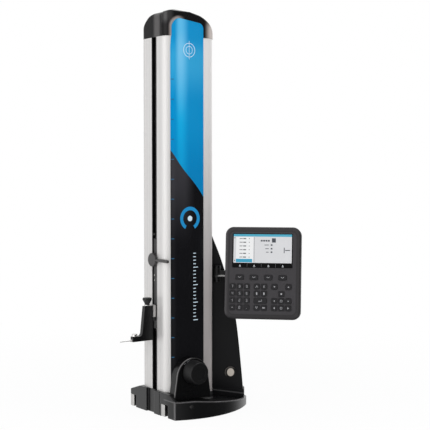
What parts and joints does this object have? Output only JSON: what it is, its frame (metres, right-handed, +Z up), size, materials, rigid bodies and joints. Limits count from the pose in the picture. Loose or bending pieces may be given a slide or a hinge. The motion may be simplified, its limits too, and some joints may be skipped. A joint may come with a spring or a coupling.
{
  "type": "height gauge",
  "caption": "Motorised vertical height gauge: heavy air-cushion base, slotted column, travelling probe carriage, control wheel and tilting keypad panel.",
  "frame": {"origin": "underside of the base, below the axis of the column", "axes": "+Z up the column, -X towards the probe, -Y the front with the control wheel, +X towards the grip"},
  "size_m": [0.4388, 0.3548, 1.0268],
  "materials": {
    "cast_black": "fine textured satin black paint",
    "toe_grey": "satin grey-black paint",
    "silver_casing": "satin anodised",
    "film_print": "smooth printed film",
    "black_plastic": "fine moulded grain",
    "panel_plastic": "fine moulded grain",
    "key_rubber": "matt",
    "glass_black": "gloss",
    "steel_ground": "ground",
    "steel_bright": "polished",
    "alu_plain": "machined",
    "rubber_black": "matt",
    "brass_insert": "machined",
    "glass_clear": "clear",
    "iron_weight": "as cast",
    "battery_wrap": "shrink wrap"
  },
  "bodies": {
    "column": {"base_casting": "cast_black", "air_bearing_pads": "brass_insert", "guide_pads": "steel_ground", "column_core": "alu_plain", "guide_rail": "steel_ground", "glass_scale": "glass_clear", "front_casing": "silver_casing", "rear_casing": "silver_casing", "slot_liners": "black_plastic", "front_film": "film_print", "top_cap_rear": "black_plastic", "top_cap_frame": "black_plastic", "drive_motor": "alu_plain", "drive_belt": "rubber_black", "wheel_dome": "black_plastic", "jog_encoder": "alu_plain", "grip_shell_front": "black_plastic", "grip_shell_rear": "black_plastic", "button_bezel": "black_plastic", "battery_pack": "battery_wrap", "housing_screws": "steel_bright", "charging_socket": "black_plastic", "arm_bracket": "cast_black"},
    "carriage": {"carriage_frame": "alu_plain", "rail_blocks": "steel_ground", "reading_head": "black_plastic", "carriage_cover": "black_plastic", "probe_mount": "steel_ground", "probe_arm": "cast_black", "stylus": "steel_bright"},
    "clamp_knob": {"probe_clamp_knob": "black_plastic"},
    "stylus_screw": {"stylus_clamp_screw": "steel_bright"},
    "carriage_lock": {"lock_lever": "black_plastic"},
    "balance_weight": {"counterweight": "iron_weight"},
    "idler": {"top_pulley": "alu_plain"},
    "driver": {"drive_pulley": "alu_plain"},
    "control_wheel": {"jog_wheel": "rubber_black"},
    "cushion_button": {"air_button": "steel_bright"},
    "panel_arm": {"swivel_arm": "cast_black"},
    "control_panel": {"panel_rear_shell": "panel_plastic", "panel_front_shell": "panel_plastic", "display": "glass_black"},
    "key_soft_key_1": {"soft_key_1": "key_rubber"},
    "key_soft_key_2": {"soft_key_2": "key_rubber"},
    "key_soft_key_3": {"soft_key_3": "key_rubber"},
    "key_soft_key_4": {"soft_key_4": "key_rubber"},
    "key_number_key_01": {"number_key_01": "key_rubber"},
    "key_number_key_02": {"number_key_02": "key_rubber"},
    "key_number_key_03": {"number_key_03": "key_rubber"},
    "key_number_key_04": {"number_key_04": "key_rubber"},
    "key_number_key_05": {"number_key_05": "key_rubber"},
    "key_number_key_06": {"number_key_06": "key_rubber"},
    "key_number_key_07": {"number_key_07": "key_rubber"},
    "key_number_key_08": {"number_key_08": "key_rubber"},
    "key_number_key_09": {"number_key_09": "key_rubber"},
    "key_number_key_10": {"number_key_10": "key_rubber"},
    "key_number_key_11": {"number_key_11": "key_rubber"},
    "key_number_key_12": {"number_key_12": "key_rubber"},
    "function_keys_body": {"function_keys": "key_rubber"},
    "cursor_keys_body": {"cursor_keys": "key_rubber"}
  },
  "joints": [
    {"name": "carriage_travel", "type": "slide", "parent": "column", "child": "carriage", "axis": [0, 0, 1], "range_m": [-0.13, 0.485]},
    {"name": "weight_travel", "type": "slide", "parent": "column", "child": "balance_weight", "axis": [0, 0, 1], "range_m": [-0.485, 0.13]},
    {"name": "idler_turn", "type": "hinge", "parent": "column", "child": "idler", "pos_m": [0.015, 0.038, 0.915], "axis": [0, 1, 0], "range_deg": [-180, 670]},
    {"name": "driver_turn", "type": "hinge", "parent": "column", "child": "driver", "pos_m": [0.015, 0.038, 0.11], "axis": [0, 1, 0], "range_deg": [-180, 670]},
    {"name": "probe_clamp_turn", "type": "hinge", "parent": "carriage", "child": "clamp_knob", "pos_m": [-0.097, 0, 0.277], "axis": [0, 0, 1], "range_deg": [0, 360]},
    {"name": "stylus_clamp_turn", "type": "hinge", "parent": "carriage", "child": "stylus_screw", "pos_m": [-0.135, 0, 0.202], "axis": [0, 0, 1], "range_deg": [0, 360]},
    {"name": "carriage_lock_turn", "type": "hinge", "parent": "carriage", "child": "carriage_lock", "pos_m": [-0.08, 0, 0.394], "axis": [1, 0, 0], "range_deg": [-45, 45]},
    {"name": "control_wheel_turn", "type": "hinge", "parent": "column", "child": "control_wheel", "pos_m": [-0.0175, -0.09, 0.113], "axis": [0, 1, 0], "range_deg": [-40, 40], "stiffness_Nm_per_rad": 0.15},
    {"name": "cushion_button_press", "type": "slide", "parent": "column", "child": "cushion_button", "axis": [0.6061, 0.7954, 0], "range_m": [0, 0.0025], "stiffness_N_per_m": 600},
    {"name": "panel_swivel", "type": "hinge", "parent": "column", "child": "panel_arm", "pos_m": [0.1, -0.031, 0.35056], "axis": [0, 0, 1], "range_deg": [-30, 8]},
    {"name": "panel_tilt", "type": "hinge", "parent": "panel_arm", "child": "control_panel", "pos_m": [0.19646, -0.11274, 0.35056], "axis": [0.7071, -0.7071, 0], "range_deg": [-15, 8]},
    {"name": "soft_key_1_press", "type": "slide", "parent": "control_panel", "child": "key_soft_key_1", "axis": [0.7002, 0.7002, -0.1392], "range_m": [0, 0.001], "stiffness_N_per_m": 400},
    {"name": "soft_key_2_press", "type": "slide", "parent": "control_panel", "child": "key_soft_key_2", "axis": [0.7002, 0.7002, -0.1392], "range_m": [0, 0.001], "stiffness_N_per_m": 400},
    {"name": "soft_key_3_press", "type": "slide", "parent": "control_panel", "child": "key_soft_key_3", "axis": [0.7002, 0.7002, -0.1392], "range_m": [0, 0.001], "stiffness_N_per_m": 400},
    {"name": "soft_key_4_press", "type": "slide", "parent": "control_panel", "child": "key_soft_key_4", "axis": [0.7002, 0.7002, -0.1392], "range_m": [0, 0.001], "stiffness_N_per_m": 400},
    {"name": "number_key_01_press", "type": "slide", "parent": "control_panel", "child": "key_number_key_01", "axis": [0.7002, 0.7002, -0.1392], "range_m": [0, 0.001], "stiffness_N_per_m": 400},
    {"name": "number_key_02_press", "type": "slide", "parent": "control_panel", "child": "key_number_key_02", "axis": [0.7002, 0.7002, -0.1392], "range_m": [0, 0.001], "stiffness_N_per_m": 400},
    {"name": "number_key_03_press", "type": "slide", "parent": "control_panel", "child": "key_number_key_03", "axis": [0.7002, 0.7002, -0.1392], "range_m": [0, 0.001], "stiffness_N_per_m": 400},
    {"name": "number_key_04_press", "type": "slide", "parent": "control_panel", "child": "key_number_key_04", "axis": [0.7002, 0.7002, -0.1392], "range_m": [0, 0.001], "stiffness_N_per_m": 400},
    {"name": "number_key_05_press", "type": "slide", "parent": "control_panel", "child": "key_number_key_05", "axis": [0.7002, 0.7002, -0.1392], "range_m": [0, 0.001], "stiffness_N_per_m": 400},
    {"name": "number_key_06_press", "type": "slide", "parent": "control_panel", "child": "key_number_key_06", "axis": [0.7002, 0.7002, -0.1392], "range_m": [0, 0.001], "stiffness_N_per_m": 400},
    {"name": "number_key_07_press", "type": "slide", "parent": "control_panel", "child": "key_number_key_07", "axis": [0.7002, 0.7002, -0.1392], "range_m": [0, 0.001], "stiffness_N_per_m": 400},
    {"name": "number_key_08_press", "type": "slide", "parent": "control_panel", "child": "key_number_key_08", "axis": [0.7002, 0.7002, -0.1392], "range_m": [0, 0.001], "stiffness_N_per_m": 400},
    {"name": "number_key_09_press", "type": "slide", "parent": "control_panel", "child": "key_number_key_09", "axis": [0.7002, 0.7002, -0.1392], "range_m": [0, 0.001], "stiffness_N_per_m": 400},
    {"name": "number_key_10_press", "type": "slide", "parent": "control_panel", "child": "key_number_key_10", "axis": [0.7002, 0.7002, -0.1392], "range_m": [0, 0.001], "stiffness_N_per_m": 400},
    {"name": "number_key_11_press", "type": "slide", "parent": "control_panel", "child": "key_number_key_11", "axis": [0.7002, 0.7002, -0.1392], "range_m": [0, 0.001], "stiffness_N_per_m": 400},
    {"name": "number_key_12_press", "type": "slide", "parent": "control_panel", "child": "key_number_key_12", "axis": [0.7002, 0.7002, -0.1392], "range_m": [0, 0.001], "stiffness_N_per_m": 400},
    {"name": "function_keys_press", "type": "slide", "parent": "control_panel", "child": "function_keys_body", "axis": [0.7002, 0.7002, -0.1392], "range_m": [0, 0.001], "stiffness_N_per_m": 1500},
    {"name": "cursor_keys_press", "type": "slide", "parent": "control_panel", "child": "cursor_keys_body", "axis": [0.7002, 0.7002, -0.1392], "range_m": [0, 0.001], "stiffness_N_per_m": 1500}
  ],
  "couplings": [
    {"joint": "weight_travel", "follows": "carriage_travel", "ratio": -1},
    {"joint": "idler_turn", "follows": "carriage_travel", "rad_per_m": 23.81},
    {"joint": "driver_turn", "follows": "carriage_travel", "rad_per_m": 23.81}
  ]
}
